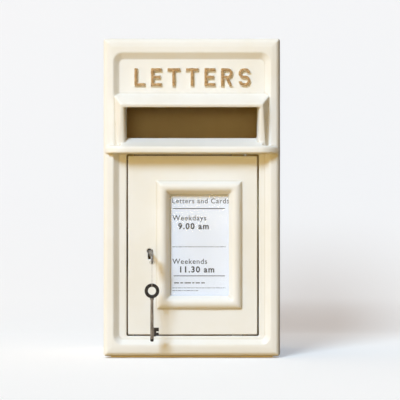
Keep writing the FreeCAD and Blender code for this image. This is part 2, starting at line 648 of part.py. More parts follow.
def stop_screw_places():
    """Two screws in each strip, clear of the doorway."""
    side_x = DOOR_X[0] - 5.4
    places = [(side_x, z) for z in (-228.0, -138.0, -46.0, 58.0)]
    places += [(x, DOOR_Z[1] + 6.5) for x in (-84.0, 56.0)]
    places += [(x, DOOR_Z[0] - 6.5) for x in (-84.0, 56.0)]
    return places


def door_stops():
    """Flat strips behind the doorway."""
    solids = []
    for x, z in stop_strips():
        strip = box(x, (PLATE_BACK_Y, PLATE_BACK_Y + STOP_T), z)
        own = [(px, pz) for px, pz in stop_screw_places() if x[0] < px < x[1] and z[0] < pz < z[1]]
        holes = rods_at(own, M3_R + SCREW_CLEAR, PLATE_BACK_Y - 1, PLATE_BACK_Y + 4)
        solids.append(cut_all(strip, holes))
    return Part.makeCompound(solids)


def stop_screws():
    """Small screws that hold the strips."""
    return screws_out(stop_screw_places(), PLATE_BACK_Y + STOP_T, M3_R, 6.0, 2.7, 1.8)


# ---- notice --------------------------------------------------------------------------------

def notice_pane():
    """Clear sheet behind the notice window."""
    w = NOTICE_W + 2 * PANE_LAP
    h = NOTICE_H + 2 * PANE_LAP
    return rounded_plate(NOTICE_X, NOTICE_Z, w, h, 2.0, (DOOR_BACK_Y, DOOR_BACK_Y + PANE_T))


def notice_card():
    """Printed card, a little smaller than the pane."""
    w = NOTICE_W + 2 * PANE_LAP - 1.0
    h = NOTICE_H + 2 * PANE_LAP - 1.0
    y = DOOR_BACK_Y + PANE_T
    return box((NOTICE_X - w / 2, NOTICE_X + w / 2), (y, y + CARD_T), (NOTICE_Z - h / 2, NOTICE_Z + h / 2))


def notice_backing():
    """Sheet that clamps the card and the pane to the door."""
    w = NOTICE_W + 2 * PANE_LAP + 15.0
    h = NOTICE_H + 2 * PANE_LAP + 14.0
    y = DOOR_BACK_Y + PANE_T + CARD_T
    sheet = rounded_plate(NOTICE_X, NOTICE_Z, w, h, 3.0, (y, y + BACKING_T))
    return cut_all(sheet, rods_at(notice_screw_places(), M3_R + SCREW_CLEAR, y - 1, y + 3))


def notice_screws():
    """Small screws that hold the backing sheet."""
    y = DOOR_BACK_Y + PANE_T + CARD_T + BACKING_T
    return screws_out(notice_screw_places(), y, M3_R, 6.5, 2.8, 1.8)


# ---- keys ----------------------------------------------------------------------------------

def key_blank():
    """Key along +Z with its tip at the origin, its bit towards +X and its bow in the XZ plane."""
    ring_z = KEY_L - KEY_RING_R - KEY_RING_MINOR
    ring = Part.makeTorus(KEY_RING_R, KEY_RING_MINOR, V(0, 0, ring_z), V(0, 1, 0))
    ring = ring.common(box((-20, 20), (-BOW_HALF_T, BOW_HALF_T), (ring_z - 20, ring_z + 20)))
    shank_top = ring_z - KEY_RING_R
    shank = Part.makeCone(3.1, 2.5, shank_top - 2.0, V(0, 0, 2.0))
    tip = Part.makeCone(2.3, 3.1, 2.0)
    collar = Part.makeCylinder(3.4, 2.2, V(0, 0, shank_top - 5.5))
    bit = box((0, KEY_BIT_REACH), (-KEY_BIT_T / 2, KEY_BIT_T / 2), (9.0, 24.5))
    ward = box((7.4, KEY_BIT_REACH + 1), (-3, 3), (15.8, 18.0))
    slant = polygon_prism([V(6.0, -3, 8.0), V(KEY_BIT_REACH + 1, -3, 8.0), V(KEY_BIT_REACH + 1, -3, 11.4),
                           V(6.0, -3, 9.4)], V(0, 6, 0))
    return fused([ring, shank, tip, collar, bit.cut(ward).cut(slant)])


def key_axes():
    """Origin at the tip, the outward direction and the bit's direction of the key in the lock."""
    outward = V(KEY_LEAN)
    reach = outward.Length
    outward.normalize()
    bit = V(0, 0, -1) - outward * V(0, 0, -1).dot(outward)
    bit.normalize()
    ring_z = KEY_L - KEY_RING_R - KEY_RING_MINOR
    return KEY_ENTRY + outward * (reach - ring_z), outward, bit


def lock_key():
    """The key in the lock, drooping in its keyhole, bit down."""
    tip, outward, bit = key_axes()
    turned = FreeCAD.Rotation(bit, V(), outward, "ZXY")
    return key_blank().transformGeometry(FreeCAD.Placement(tip, turned).toMatrix())


def lower_rim(centre):
    """Middle of a bow's rim at its lowest point."""
    return centre - UP * KEY_RING_R


def spare_key():
    """The second key, hanging below the first one."""
    ring_z = KEY_L - KEY_RING_R - KEY_RING_MINOR
    bow = lower_rim(KEY_ENTRY + KEY_LEAN) - UP * (TIE_DROP + KEY_RING_R)
    return key_blank().translated(bow - UP * ring_z)


def key_tie():
    """Wire with an eye round each bow."""
    top = lower_rim(KEY_ENTRY + KEY_LEAN)
    bottom = top - UP * TIE_DROP
    eye_r = KEY_RING_MINOR + 0.35 + KEY_TIE_R
    upper = Part.makeTorus(eye_r, KEY_TIE_R, top, V(KEY_LEAN.x, KEY_LEAN.y, 0))
    lower = Part.makeTorus(eye_r, KEY_TIE_R, bottom, RIGHT)
    stem = rod(KEY_TIE_R, top - UP * eye_r, bottom + UP * eye_r)
    return fused([upper, lower, stem])


# ---- lock ----------------------------------------------------------------------------------

def lock_case():
    """Open case on the back of the door, with screw posts and bolt guides."""
    outer = box(CASE_X, (DOOR_BACK_Y, CASE_BACK_Y), CASE_Z)
    t = CASE_T
    room_x = (CASE_X[0] + t, CASE_X[1] - t)
    room_z = (CASE_Z[0] + t, CASE_Z[1] - t)
    case = outer.cut(box(room_x, (DOOR_BACK_Y + t, CASE_BACK_Y + 1), room_z))
    posts = rods_at(lock_screw_places(), 3.6, DOOR_BACK_Y, CASE_BACK_Y)
    guide_y = (DOOR_BACK_Y, BOLT_Y[1] + BOLT_CLEAR)
    low_guide = box(room_x, guide_y, (BOLT_TAIL_Z[0] - 3.5, BOLT_TAIL_Z[0] - BOLT_CLEAR))
    shelf_y = (DOOR_BACK_Y, BOLT_Y[0] - BOLT_CLEAR)
    shelf = box(BOLT_TAIL_X, shelf_y, (BOLT_TAIL_Z[1] - 3.0, BOLT_TAIL_Z[1]))
    spring_places = [(SPRING_X + side * 12.0, SPRING_TOP_Z + 2.3) for side in (-1, 1)]
    spring_posts = rods_at(spring_places, 1.5, DOOR_BACK_Y, BOLT_Y[1])
    case = fused([case] + posts + [low_guide, shelf] + spring_posts)
    cuts = rods_at(lock_screw_places(), M4_R + SCREW_CLEAR, DOOR_BACK_Y - 1, CASE_BACK_Y + 1)
    cuts.append(keyhole(KEYHOLE_R + 0.3, KEYHOLE_SLOT_W + 0.4, (DOOR_BACK_Y - 1, DOOR_BACK_Y + t + 0.5)))
    exit_y = (BOLT_Y[0] - 0.3, BOLT_Y[1] + 0.3)
    exit_z = (BOLT_HEAD_Z[0] - 0.3, BOLT_HEAD_Z[1] + 0.3)
    cuts.append(box((CASE_X[0] - 1, CASE_X[0] + t + 0.5), exit_y, exit_z))
    return cut_all(case, cuts)


def bolt_spring():
    """Thin bowed leaf that bears on the top of the bolt."""
    y0 = BOLT_Y[0] + 0.5
    x0, x1 = SPRING_X - SPRING_HALF_L, SPRING_X + SPRING_HALF_L
    z0, z1 = SPRING_TOP_Z, SPRING_TOP_Z + SPRING_T
    low = BOLT_TAIL_Z[1] + 0.15
    edges = [
        Part.Arc(V(x0, y0, z0), V(SPRING_X, y0, low), V(x1, y0, z0)).toShape(),
        Part.LineSegment(V(x1, y0, z0), V(x1, y0, z1)).toShape(),
        Part.Arc(V(x1, y0, z1), V(SPRING_X, y0, low + SPRING_T), V(x0, y0, z1)).toShape(),
        Part.LineSegment(V(x0, y0, z1), V(x0, y0, z0)).toShape(),
    ]
    return Part.Face(Part.Wire(edges)).extrude(V(0, BOLT_Y[1] - BOLT_Y[0] - 1.0, 0))


def lock_cap():
    """Cover of the lock case, with the hole that carries the key's tip."""
    plate = box(CASE_X, (CASE_BACK_Y, CASE_BACK_Y + CAP_T), CASE_Z)
    tip, outward, _ = key_axes()
    through = tip + outward * 3.0
    cuts = rods_at([(through.x, through.z)], 4.0, CASE_BACK_Y - 1, CASE_BACK_Y + 4)
    cuts += rods_at(lock_screw_places(), M4_R + SCREW_CLEAR, CASE_BACK_Y - 1, CASE_BACK_Y + 4)
    return cut_all(plate, cuts)


def lock_bolt():
    """Sliding bolt: a head, and a tail whose window the key's bit works in."""
    head = box((BOLT_HEAD_X, BOLT_TAIL_X[0] + 1), BOLT_Y, BOLT_HEAD_Z)
    head = head.makeFillet(1.0, edges_on(head, "X", BOLT_HEAD_X))
    tail = box(BOLT_TAIL_X, BOLT_Y, BOLT_TAIL_Z)
    tip, outward, _ = key_axes()
    axis = tip + outward * ((sum(BOLT_Y) / 2 - tip.y) / outward.y)
    y = (BOLT_Y[0] - 1, BOLT_Y[1] + 1)
    run = box((axis.x - 5.9, axis.x + BOLT_THROW + 4.2), y, (axis.z - 7.0, axis.z + 4.4))
    talon = box((axis.x - 5.9, axis.x + 3.8), y, (axis.z - 14.0, axis.z - 6.9))
    return fused([head, tail]).cut(run.fuse(talon))


def lock_screws():
    """Long screws through the cap and the case into the door."""
    y = CASE_BACK_Y + CAP_T
    length = y - DOOR_BACK_Y + 3.8
    return screws_out(lock_screw_places(), y, M4_R, length, 3.6, 2.4)


def keep_screw_places():
    """Screws of the lock keep."""
    return [(KEEP_X - 5.0, KEEP_Z[0] + 6.0), (KEEP_X - 5.0, KEEP_Z[1] - 6.0)]


def lock_keep():
    """Angle bracket behind the casting, with the slot that takes the bolt."""
    foot = box((KEEP_X - 10.0, KEEP_X + KEEP_T), (PLATE_BACK_Y, PLATE_BACK_Y + KEEP_T), KEEP_Z)
    leg_z = (BOLT_HEAD_Z[0] - 7.0, BOLT_HEAD_Z[1] + 7.0)
    leg = box((KEEP_X, KEEP_X + KEEP_T), (PLATE_BACK_Y, BOLT_Y[1] + 7.0), leg_z)
    slot = box((KEEP_X - 1, KEEP_X + KEEP_T + 1), (BOLT_Y[0] - 1.0, BOLT_Y[1] + 1.0),
               (BOLT_HEAD_Z[0] - 1.0, BOLT_HEAD_Z[1] + 1.0))
    holes = rods_at(keep_screw_places(), M4_R + SCREW_CLEAR, PLATE_BACK_Y - 1, PLATE_BACK_Y + 4)
    return cut_all(fused([foot, leg]), [slot] + holes)


def keep_screws():
    """Screws of the lock keep."""
    return screws_out(keep_screw_places(), PLATE_BACK_Y + KEEP_T, M4_R, 6.5, 3.6, 2.4)


# ---- export --------------------------------------------------------------------------------

NODES = [
    front_frame, header_letters, body_shell, back_panel, back_rivets, frame_screws, door_stops, stop_screws,
    lower_hinge_pin, upper_hinge_pin, thrust_washer, lock_keep, keep_screws,
    door_panel, notice_pane, notice_card, notice_backing, notice_screws, lock_case, lock_cap, lock_screws,
    bolt_spring, lock_bolt, lock_key, key_tie, spare_key,
]

os.makedirs("parts", exist_ok=True)
for make in NODES:
    shape = make()
    shape.exportStep("parts/" + make.__name__ + ".step")
    box_now = shape.BoundBox
    print(make.__name__, len(shape.Solids), shape.isValid(), round(shape.Volume / 1000, 1),
          "x %.1f %.1f y %.1f %.1f z %.1f %.1f" % (box_now.XMin, box_now.XMax, box_now.YMin, box_now.YMax,
                                                  box_now.ZMin, box_now.ZMax))
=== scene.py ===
import json
import math

import bmesh
import bpy
from mathutils import Matrix, Vector


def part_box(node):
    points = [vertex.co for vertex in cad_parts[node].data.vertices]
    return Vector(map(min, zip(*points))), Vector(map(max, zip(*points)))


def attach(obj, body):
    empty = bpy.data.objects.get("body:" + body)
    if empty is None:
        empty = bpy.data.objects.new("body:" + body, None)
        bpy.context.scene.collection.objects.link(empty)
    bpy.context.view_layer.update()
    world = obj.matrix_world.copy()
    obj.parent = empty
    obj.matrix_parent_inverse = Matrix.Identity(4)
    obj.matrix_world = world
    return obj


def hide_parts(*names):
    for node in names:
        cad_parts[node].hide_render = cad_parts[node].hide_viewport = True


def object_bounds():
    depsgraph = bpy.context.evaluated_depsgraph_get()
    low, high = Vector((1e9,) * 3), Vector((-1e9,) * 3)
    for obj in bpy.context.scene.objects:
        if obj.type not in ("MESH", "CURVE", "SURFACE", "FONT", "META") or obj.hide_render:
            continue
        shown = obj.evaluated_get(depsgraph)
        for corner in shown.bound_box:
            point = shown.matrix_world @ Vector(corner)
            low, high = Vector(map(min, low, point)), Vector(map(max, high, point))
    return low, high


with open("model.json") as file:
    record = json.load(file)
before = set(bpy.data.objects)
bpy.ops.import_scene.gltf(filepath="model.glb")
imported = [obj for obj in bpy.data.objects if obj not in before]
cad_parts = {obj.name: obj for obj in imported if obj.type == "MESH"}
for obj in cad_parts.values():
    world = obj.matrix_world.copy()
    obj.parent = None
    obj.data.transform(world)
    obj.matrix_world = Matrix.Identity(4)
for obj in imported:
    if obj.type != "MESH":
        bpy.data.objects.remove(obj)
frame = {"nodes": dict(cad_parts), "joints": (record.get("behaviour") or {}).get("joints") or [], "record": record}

# A cast wall letter box, standing on a white sweep. Metres; the front faces -Y.

NODES = frame["nodes"]
MM = 0.001

CAD_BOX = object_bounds()
BASE_Z = CAD_BOX[0][2]
GROUND_Y = -200.0 * MM          # flat of the casting and of the door
UP = Vector((0, 0, 1))
BACK = Vector((0, 1, 0))


# ---- helpers -------------------------------------------------------------------------------

def add_object(name, data, body=None):
    """Links a new object and lets it ride on a body."""
    made = bpy.data.objects.new(name, data)
    bpy.context.scene.collection.objects.link(made)
    if body:
        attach(made, body)
    return made


def mesh_of(bm, name):
    """Turns a bmesh into a mesh and frees it."""
    mesh = bpy.data.meshes.new(name)
    bm.to_mesh(mesh)
    bm.free()
    return mesh


def shade_smooth(obj):
    """Smooth normals all over."""
    mesh = obj.data
    mesh.polygons.foreach_set("use_smooth", [True] * len(mesh.polygons))
    mesh.update()


def paint(obj, material):
    """Gives an object this material in place of what it had."""
    obj.data.materials.clear()
    obj.data.materials.append(material)


# ---- material building ---------------------------------------------------------------------

MIX_FACTOR, MIX_FIRST, MIX_SECOND, MIX_RESULT = 0, 6, 7, 2      # colour sockets of the Mix node


class Nodes:
    """Short names for building a node tree."""

    def __init__(self, tree):
        self.tree = tree

    def add(self, kind, **settings):
        """New node with these properties."""
        node = self.tree.nodes.new(kind)
        for key, value in settings.items():
            setattr(node, key, value)
        return node

    def link(self, source, target):
        """Wire from an output to an input."""
        self.tree.links.new(source, target)

    def feed(self, socket, value):
        """Sets an input from a socket, a number or a colour."""
        if isinstance(value, bpy.types.NodeSocket):
            self.link(value, socket)
        elif isinstance(value, (int, float)):
            socket.default_value = value
        else:
            socket.default_value = (*value, 1.0)

    def mix(self, factor, first, second, blend="MIX"):
        """Mix of two colours; factor, first and second are sockets or values."""
        mix = self.add("ShaderNodeMix", data_type="RGBA", blend_type=blend)
        self.feed(mix.inputs[MIX_FACTOR], factor)
        self.feed(mix.inputs[MIX_FIRST], first)
        self.feed(mix.inputs[MIX_SECOND], second)
        return mix.outputs[MIX_RESULT]

    def math(self, operation, first, second=None):
        """Result of a sum on one or two values."""
        node = self.add("ShaderNodeMath", operation=operation)
        self.feed(node.inputs[0], first)
        if second is not None:
            self.feed(node.inputs[1], second)
        return node.outputs[0]

    def axes(self, source):
        """X, Y and Z of a vector socket."""
        split = self.add("ShaderNodeSeparateXYZ")
        self.link(source, split.inputs["Vector"])
        return [split.outputs[axis] for axis in "XYZ"]

    def span(self, source, low, high, to_low=0.0, to_high=1.0):
        """Maps one range of numbers to another, clamped."""
        node = self.add("ShaderNodeMapRange")
        node.inputs["From Min"].default_value = low
        node.inputs["From Max"].default_value = high
        node.inputs["To Min"].default_value = to_low
        node.inputs["To Max"].default_value = to_high
        self.link(source, node.inputs["Value"])
        return node.outputs["Result"]


class Paint(Nodes):
    """Node tree of one material, round its Principled shader."""

    def __init__(self, name):
        self.material = bpy.data.materials.new(name)
        self.material.use_nodes = True
        super().__init__(self.material.node_tree)
        self.shader = self.tree.nodes["Principled BSDF"]
        self.place = self.add("ShaderNodeTexCoord").outputs["Object"]

    def set(self, **values):
        """Constant values straight on the shader's sockets."""
        for key, value in values.items():
            self.shader.inputs[key.replace("_", " ")].default_value = value

    def drive(self, name, source):
        """Feeds one of the shader's inputs."""
        self.link(source, self.shader.inputs[name])

    def geometry(self, output):
        """An output of the Geometry node."""
        return self.add("ShaderNodeNewGeometry").outputs[output]

    def noise(self, scale, detail=3.0, rough=0.5, stretch=(1, 1, 1)):
        """Noise in the object's own metres."""
        mapping = self.add("ShaderNodeMapping")
        mapping.inputs["Scale"].default_value = stretch
        self.link(self.place, mapping.inputs["Vector"])
        noise = self.add("ShaderNodeTexNoise")
        noise.inputs["Scale"].default_value = scale
        noise.inputs["Detail"].default_value = detail
        noise.inputs["Roughness"].default_value = rough
        self.link(mapping.outputs["Vector"], noise.inputs["Vector"])
        return noise.outputs["Fac"]

    def ramp(self, source, colours, stops=(0.3, 0.7)):
        """Colour ramp with these colours at these stops."""
        ramp = self.add("ShaderNodeValToRGB")
        elements = ramp.color_ramp.elements
        while len(elements) < len(stops):
            elements.new(0.5)
        for element, position, colour in zip(elements, stops, colours):
            element.position = position
            element.color = (*colour, 1.0)
        self.link(source, ramp.inputs["Fac"])
        return ramp.outputs["Color"]

    def gloss(self, scale, low, high, detail=2.0, stretch=(1, 1, 1)):
        """Roughness that wanders between two values."""
        noise = self.noise(scale, detail, 0.5, stretch)
        self.drive("Roughness", self.span(noise, 0.3, 0.7, low, high))

    def bump(self, heights):
        """Bumps in turn from (height socket, distance in metres, strength)."""
        normal = None
        for height, distance, strength in heights:
            bump = self.add("ShaderNodeBump")
            bump.inputs["Distance"].default_value = distance
            bump.inputs["Strength"].default_value = strength
            self.link(height, bump.inputs["Height"])
            if normal is not None:
                self.link(normal, bump.inputs["Normal"])
            normal = bump.outputs["Normal"]
        self.drive("Normal", normal)


# ---- finishes ------------------------------------------------------------------------------

SPARE_LOW, SPARE_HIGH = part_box("spare_key")
BIT_HEIGHT = 4 * MM             # plain end of the spare key, under its shank with the painted reflection
BOW_HEIGHT = 25 * MM            # ring and collar above the shank
SPARE_SHANK = (SPARE_LOW[2] + BIT_HEIGHT, SPARE_HIGH[2] - BOW_HEIGHT)
SHANK_FADE = 2 * MM             # over which the painted reflection fades at the shank's ends
SHANK_HALF = (3.2 * MM, 4.0 * MM)       # half widths between which it fades at the sides
KEY_AXIS_X = next(j["pos_m"][0] for j in frame["joints"] if j["name"] == "spare_swing")

BLACK = (0.0, 0.0, 0.0)
CREAM = (0.835, 0.815, 0.765)
CREAM_DEEP = (0.81, 0.775, 0.695)
CREAM_PALE = (0.85, 0.835, 0.79)
HOLLOW_PATINA_AND_SHADE = (0.50, 0.40, 0.24)       # in the inner corners: painted shade, partly patina
# Painted shade: colour of the dark band on the frame's right edge and foot
RIM_SHADE_PAINT = (0.17, 0.125, 0.07)
OCHRE = ((0.80, 0.61, 0.28), (0.88, 0.69, 0.34))
GOLD = ((0.24, 0.13, 0.045), (0.44, 0.27, 0.12), (0.62, 0.45, 0.25))
GOLD_FLANK = ((0.66, 0.55, 0.38), (0.80, 0.74, 0.62))
# Painted reflection: paler colours on the spare key's round shank, where the bright surroundings would reflect
IRON_SHANK_REFLECTION = ((0.14, 0.115, 0.09), (0.33, 0.28, 0.225))
IRON_EDGE = (0.30, 0.24, 0.19)
CARD_WHITE = ((0.80, 0.842, 0.93), (0.83, 0.867, 0.955))
INK_BLACK = ((0.012, 0.012, 0.014), (0.04, 0.04, 0.045))
WIRE_PALE = ((0.42, 0.38, 0.34), (0.66, 0.62, 0.57))
SHELL_SKIN = 0.7 * MM           # depth of the sheet body's outer coat
RIDGE = (3.5 * MM, 4.1 * MM)    # height of the letters' ridge above the ground
RIDGE_WANDER = 0.45 * MM
# Painted shade on the frame's rim: a dark band on the rounded right edge and at the foot
RIM_RIGHT = (4.4 * MM, 2.0 * MM)        # from the right edge: where the painted shade begins and where it is full
RIM_FOOT = (2.4 * MM, 1.2 * MM)         # the same from the foot
RIM_DEPTH = 2.5 * MM                    # of the painted shade behind the ground
RIM_SHADE_STRENGTH = 0.85


def cream_paint(name="cream_paint", rim=None):
    """Satin cream enamel on a casting: soft brush drag, faint yellowing, fine texture.

    A rim, if given as its box, gets painted shade: a dark band on its right edge and along its foot, where the
    rounded edge turns away from the light and shade falls under it.
    """
    n = Paint(name)
    patches = n.ramp(n.noise(7.0, 4.0, 0.55), (CREAM_DEEP, CREAM, CREAM_PALE), (0.30, 0.52, 0.75))
    drag = n.noise(90.0, 3.0, 0.6, (1.0, 1.0, 0.12))
    colour = n.mix(n.span(drag, 0.35, 0.7, 0.0, 0.10), patches, CREAM_DEEP)
    # darker ochre in the inner corners: painted shade, partly patina
    hollow_patina_and_shade = n.span(n.geometry("Pointiness"), 0.47, 0.495, 0.45, 0.0)
    colour = n.mix(hollow_patina_and_shade, colour, HOLLOW_PATINA_AND_SHADE)
    if rim:
        low, high = rim
        x, y, z = n.axes(n.place)
        right = n.span(x, high[0] - RIM_RIGHT[0], high[0] - RIM_RIGHT[1])
        foot = n.span(z, low[2] + RIM_FOOT[0], low[2] + RIM_FOOT[1])
        front = n.span(y, GROUND_Y + RIM_DEPTH, GROUND_Y, 0.0, RIM_SHADE_STRENGTH)
        # painted shade on the rim's right edge and foot
        rim_shade = n.mix(n.mix(1.0, right, foot, "LIGHTEN"), BLACK, front)
        colour = n.mix(rim_shade, colour, RIM_SHADE_PAINT)
    n.drive("Base Color", colour)
    n.gloss(30.0, 0.36, 0.48)
    n.set(Specular_IOR_Level=0.42, Coat_Weight=0.12, Coat_Roughness=0.25)
    n.bump([(n.noise(520.0, 2.0, 0.5), 0.00012, 0.35), (drag, 0.0002, 0.25)])
    return n.material


def shell_paint():
    """The sheet body: cream outside, a thin ochre coat inside."""
    n = Paint("shell_paint")
    low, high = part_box("body_shell")
    x, y, z = n.axes(n.place)
    skins = [(x, 1.0, high[0]), (x, -1.0, -low[0]), (z, 1.0, high[2]), (z, -1.0, -low[2]), (y, 1.0, 0.0)]
    outside = None
    for axis, flip, face in skins:
        on_face = n.math("GREATER_THAN", n.math("MULTIPLY", axis, flip), face - SHELL_SKIN)
        outside = on_face if outside is None else n.math("MAXIMUM", outside, on_face)
    cream = n.ramp(n.noise(5.0, 4.0, 0.55), (CREAM_DEEP, CREAM, CREAM_PALE), (0.30, 0.55, 0.80))
    ochre = n.ramp(n.noise(9.0, 4.0, 0.6), OCHRE)
    n.drive("Base Color", n.mix(outside, ochre, cream))
    n.gloss(30.0, 0.38, 0.5)
    n.set(Specular_IOR_Level=0.42, Coat_Weight=0.1, Coat_Roughness=0.25)
    n.bump([(n.noise(650.0, 2.0, 0.5), 0.0001, 0.3)])
    return n.material


def gold_paint():
    """Cream casting with old gold enamel on the letters' raised ridge, worn through here and there."""
    n = Paint("gold_paint")
    wander = n.span(n.noise(140.0, 3.0, 0.6), 0.3, 0.7, -RIDGE_WANDER, RIDGE_WANDER)
    height = n.math("ADD", n.axes(n.place)[1], wander)
    ridge = n.span(height, GROUND_Y - RIDGE[0], GROUND_Y - RIDGE[1])
    gold = n.ramp(n.noise(240.0, 4.0, 0.6), GOLD, (0.30, 0.55, 0.75))
    flank = n.ramp(n.noise(60.0, 3.0), GOLD_FLANK)
    n.drive("Base Color", n.mix(ridge, flank, gold))
    n.gloss(220.0, 0.34, 0.5)
    n.drive("Metallic", n.span(ridge, 0.0, 1.0, 0.0, 0.35))
    n.set(Specular_IOR_Level=0.45)
    n.bump([(n.noise(900.0, 2.0), 0.00008, 0.4)])
    return n.material


def iron(name, dark, light, shank=None):
    """Dark oiled iron; a shank, if given as its limits in Z, is painted a paler brown grey, a painted reflection
    of the bright surroundings.
    """
    n = Paint(name)
    body = n.ramp(n.noise(260.0, 5.0, 0.6), (dark, light), (0.35, 0.72))
    if shank:
        x, _, z = n.axes(n.place)
        above = n.span(z, shank[0], shank[0] + SHANK_FADE)
        below = n.span(z, shank[1], shank[1] - SHANK_FADE)
        aside = n.math("ABSOLUTE", n.math("SUBTRACT", x, KEY_AXIS_X))
        on_shank = n.mix(n.span(aside, *SHANK_HALF), n.mix(above, BLACK, below), BLACK)
        # painted reflection on the shank
        shank_reflection = n.ramp(n.noise(330.0, 5.0, 0.65, (1.0, 1.0, 0.35)), IRON_SHANK_REFLECTION, (0.35, 0.65))
        body = n.mix(on_shank, body, shank_reflection)
    worn = n.span(n.geometry("Pointiness"), 0.52, 0.58, 0.0, 0.5)
    n.drive("Base Color", n.mix(worn, body, IRON_EDGE))
    n.gloss(300.0, 0.34, 0.6, 3.0)
    n.set(Metallic=0.6, Specular_IOR_Level=0.5)
    n.bump([(n.noise(700.0, 3.0, 0.6), 0.00015, 0.5)])
    return n.material


def steel(name, tint, low=0.28, high=0.42):
    """Plated or plain metal with a faint mottled bloom."""
    n = Paint(name)
    pale = tuple(min(1.0, c * 1.25) for c in tint)
    n.drive("Base Color", n.ramp(n.noise(120.0, 4.0, 0.6), (tint, pale)))
    n.gloss(400.0, low, high, 2.0, (1, 1, 0.1))
    n.set(Metallic=0.95)
    n.bump([(n.noise(1200.0, 2.0), 0.00004, 0.4)])
    return n.material


def clear_sheet():
    """Thin clear acrylic."""
    n = Paint("clear_sheet")
    n.gloss(60.0, 0.03, 0.08)
    n.set(Base_Color=(0.9, 0.93, 0.97, 1.0), Alpha=0.05, IOR=1.49, Specular_IOR_Level=0.4)
    return n.material


def mottled(name, scale, shades, detail=2.0, **finish):
    """Plain surface that wanders between two shades."""
    n = Paint(name)
    n.drive("Base Color", n.ramp(n.noise(scale, detail), shades))
    n.set(**finish)
    return n.material


MATERIALS = {
    "cream_paint": cream_paint(),
    "frame_paint": cream_paint("frame_paint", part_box("front_frame")),
    "shell_paint": shell_paint(),
    "gold_paint": gold_paint(),
    "black_iron": iron("black_iron", (0.012, 0.010, 0.009), (0.06, 0.048, 0.038)),
    "spare_iron": iron("spare_iron", (0.012, 0.010, 0.009), (0.05, 0.04, 0.032), SPARE_SHANK),
    # The lock key's iron is a lighter copy of the dark iron: painted light, as its bow is lit from the left
    "pale_lit_iron": iron("pale_lit_iron", (0.16, 0.15, 0.14), (0.34, 0.32, 0.30)),
    "zinc_steel": steel("zinc_steel", (0.50, 0.51, 0.53)),
    "spring_steel": steel("spring_steel", (0.10, 0.11, 0.14), 0.2, 0.3),
    "brass": steel("brass", (0.17, 0.115, 0.05), 0.4, 0.55),
    "clear_sheet": clear_sheet(),
    "card": mottled("card", 30.0, CARD_WHITE, 3.0, Roughness=0.8, Specular_IOR_Level=0.2),
    "ink": mottled("ink", 1500.0, INK_BLACK, Roughness=0.7, Specular_IOR_Level=0.2),
    "pale_wire": mottled("pale_wire", 600.0, WIRE_PALE, Roughness=0.5, Metallic=0.2),
}


# ---- CAD nodes: finish and soft cast edges ---------------------------------------------------

# Nodes whose look differs from their slot's. Bright metal would show through the door's thin gap.
SPECIAL = {"front_frame": "frame_paint", "body_shell": "shell_paint", "back_panel": "shell_paint",
           "spare_key": "spare_iron", "lock_key": "pale_lit_iron",
           "door_stops": "black_iron", "stop_screws": "black_iron", "lock_keep": "black_iron"}
# node: (voxel, rounds of smoothing, waviness)
SOFT = {"front_frame": (1.1 * MM, 5, 0.5 * MM), "door_panel": (1.1 * MM, 4, 0.4 * MM),
        "header_letters": (0.45 * MM, 4, 0.0), "lock_key": (0.4 * MM, 4, 0.0),
        "spare_key": (0.4 * MM, 4, 0.0)}
WAVE_SIZE = 0.05
PANE_CLEAR = 0.08 * MM          # drawn in all round, so that pane and card don't share a plane


def soften(node, voxel, rounds, waviness):
    """Rounds every edge of a cast or forged node and, if asked, gives its faces a slow slight wave."""
    obj = NODES[node]
    remesh = obj.modifiers.new("Remesh", "REMESH")
    remesh.mode = "VOXEL"
    remesh.voxel_size = voxel
    remesh.use_smooth_shade = True
    smooth = obj.modifiers.new("Smooth", "SMOOTH")
    smooth.factor = 0.5
    smooth.iterations = rounds
    if waviness:
        clouds = bpy.data.textures.new(node + "_wave", "CLOUDS")
        clouds.noise_scale = WAVE_SIZE
        clouds.noise_depth = 2
        wave = obj.modifiers.new("Wave", "DISPLACE")
        wave.texture = clouds
        wave.texture_coords = "LOCAL"
        wave.strength = waviness
        wave.mid_level = 0.9       # keeps the wavy faces inside the casting's own size


def shrink(node, by):
    """Draws a node's faces in a little."""
    inward = NODES[node].modifiers.new("Shrink", "DISPLACE")
    inward.strength = -by
    inward.mid_level = 0.0


def finish_nodes():
    """Every CAD node takes its finish, and the cast and forged ones their soft edges."""
    for part in frame["record"]["subparts"]:
        node = part["node"]
        paint(NODES[node], MATERIALS[SPECIAL.get(node, part["material_slot"])])
    for node, settings in SOFT.items():
        soften(node, *settings)
    shrink("notice_pane", PANE_CLEAR)


finish_nodes()


# ---- printed notice ------------------------------------------------------------------------

PRINT_RISE = 0.03 * MM
PRINT_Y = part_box("notice_card")[0][1] - PRINT_RISE      # between the card and the pane
PANE_LAP = 6.0 * MM                     # of the pane behind the frame, all round
PANE_LOW, PANE_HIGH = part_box("notice_pane")
LEFT_X = PANE_LOW[0] + PANE_LAP + 4.5 * MM
RIGHT_X = PANE_HIGH[0] - PANE_LAP - 6.5 * MM
TOP_Z = PANE_HIGH[2] - PANE_LAP

# Millimetres: (name, words, size, start from the left, drop from the top, boldness)
LINES = [
    ("print_heading", "Letters and Cards", 12.6, -1.0, 16.0, 0.11),
    ("print_days_1", "Weekdays", 13.2, 0.0, 46.5, 0.13),
    ("print_time_1", "9.00 am", 14.8, 10.0, 62.0, 0.48),
    ("print_days_2", "Weekends", 13.2, 0.0, 124.5, 0.13),
    ("print_time_2", "11.30 am", 14.8, 11.0, 139.5, 0.48),
]
# (name, start from the left, drop from the top, thickness); both end at the right
RULES = [("print_rule_top", 1.0, 25.5, 1.6), ("print_rule_low", 2.0, 146.0, 1.4)]
